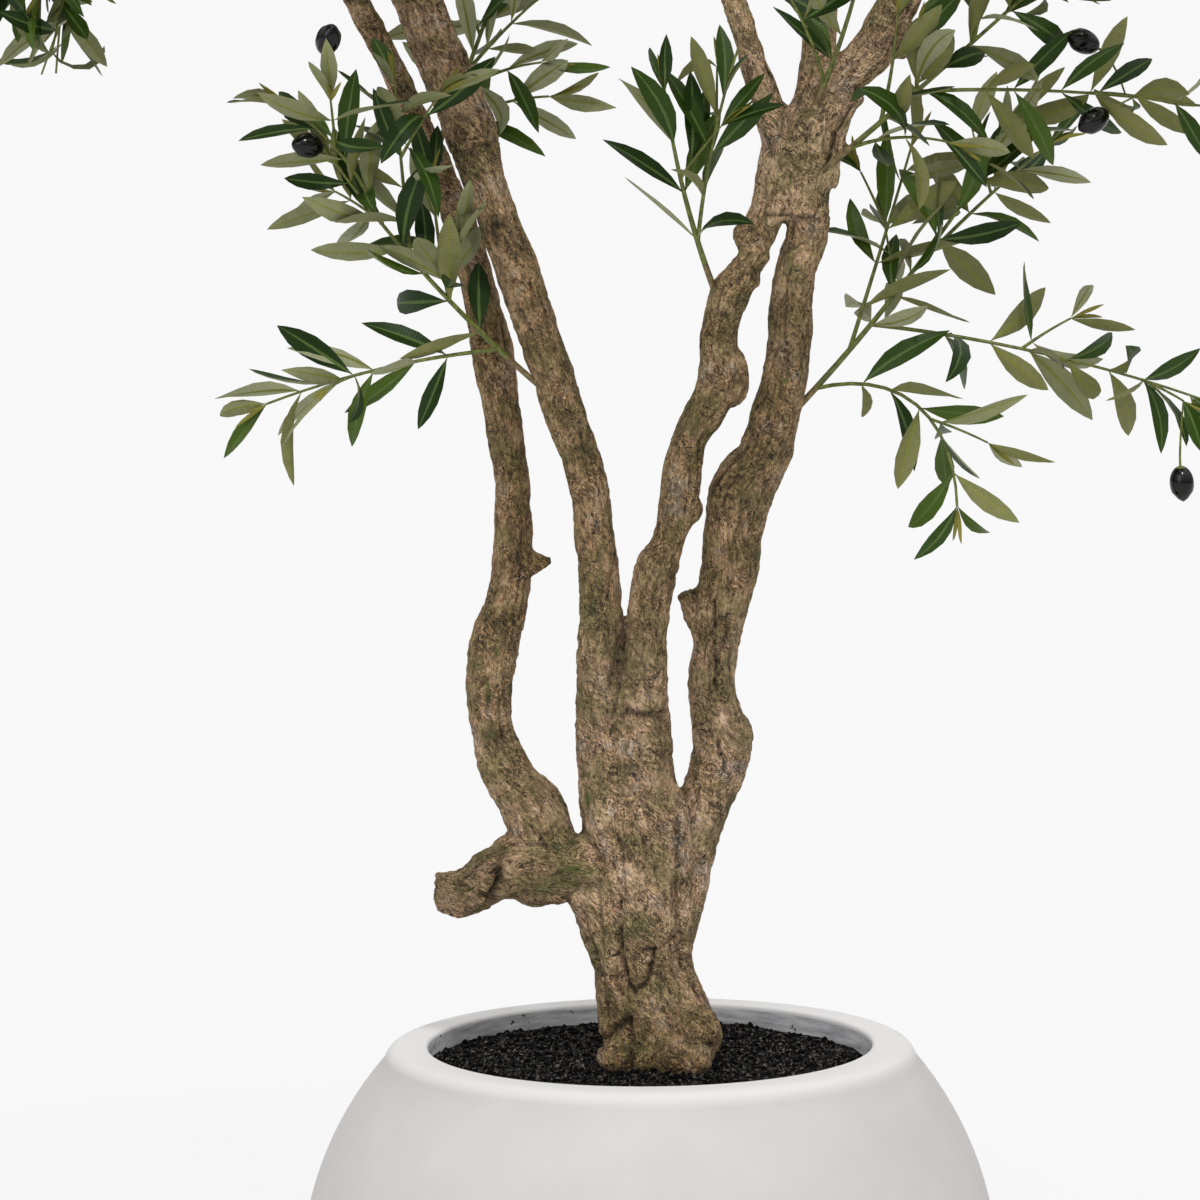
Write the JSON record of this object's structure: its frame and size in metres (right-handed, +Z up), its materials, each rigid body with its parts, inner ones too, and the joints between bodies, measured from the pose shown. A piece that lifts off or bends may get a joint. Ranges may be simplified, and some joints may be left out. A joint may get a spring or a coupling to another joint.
{
  "type": "potted artificial olive tree",
  "caption": "Artificial olive tree with a many-stemmed wooden trunk and an open leafy crown, standing in soil in a round bowl planter.",
  "frame": {"origin": "centre of the planter's flat underside, on the floor", "axes": "+X to the right and +Y away from the viewer as the picture shows the tree, +Z up"},
  "size_m": [1.2707, 1.1593, 2.075],
  "materials": {
    "planter": "matte",
    "soil": "matte",
    "bark": "matte",
    "foliage": "satin"
  },
  "bodies": {
    "root": {"bowl_planter": "planter", "soil": "soil", "trunk": "bark", "crown_fork": "bark", "stem_back_left": "bark", "stem_front_left": "bark", "stem_middle": "bark", "stem_right": "bark", "bough_inner": "bark", "bough_middle": "bark", "bough_outer": "bark", "bough_top_left": "bark", "bough_left_front": "bark", "bough_back_left": "bark", "bough_front": "bark", "bough_back": "bark", "bough_right_front": "bark", "bough_right_back": "bark", "spray_low_left": "foliage", "spray_centre": "foliage", "spray_low_right": "foliage", "spray_fork_right": "foliage", "spray_fork_front": "foliage", "spray_behind_left": "foliage", "crown_left_top": "foliage", "crown_top_left": "foliage", "crown_left_front": "foliage", "crown_left_back": "foliage", "crown_left_hanging": "foliage", "crown_back_left": "foliage", "crown_front_centre": "foliage", "crown_front_right": "foliage", "crown_top": "foliage", "crown_back": "foliage", "crown_right_top": "foliage", "crown_right_front": "foliage", "crown_right_back": "foliage", "crown_centre": "foliage", "crown_centre_back": "foliage", "crown_top_right": "foliage", "crown_top_front": "foliage", "crown_top_back": "foliage"}
  },
  "joints": []
}
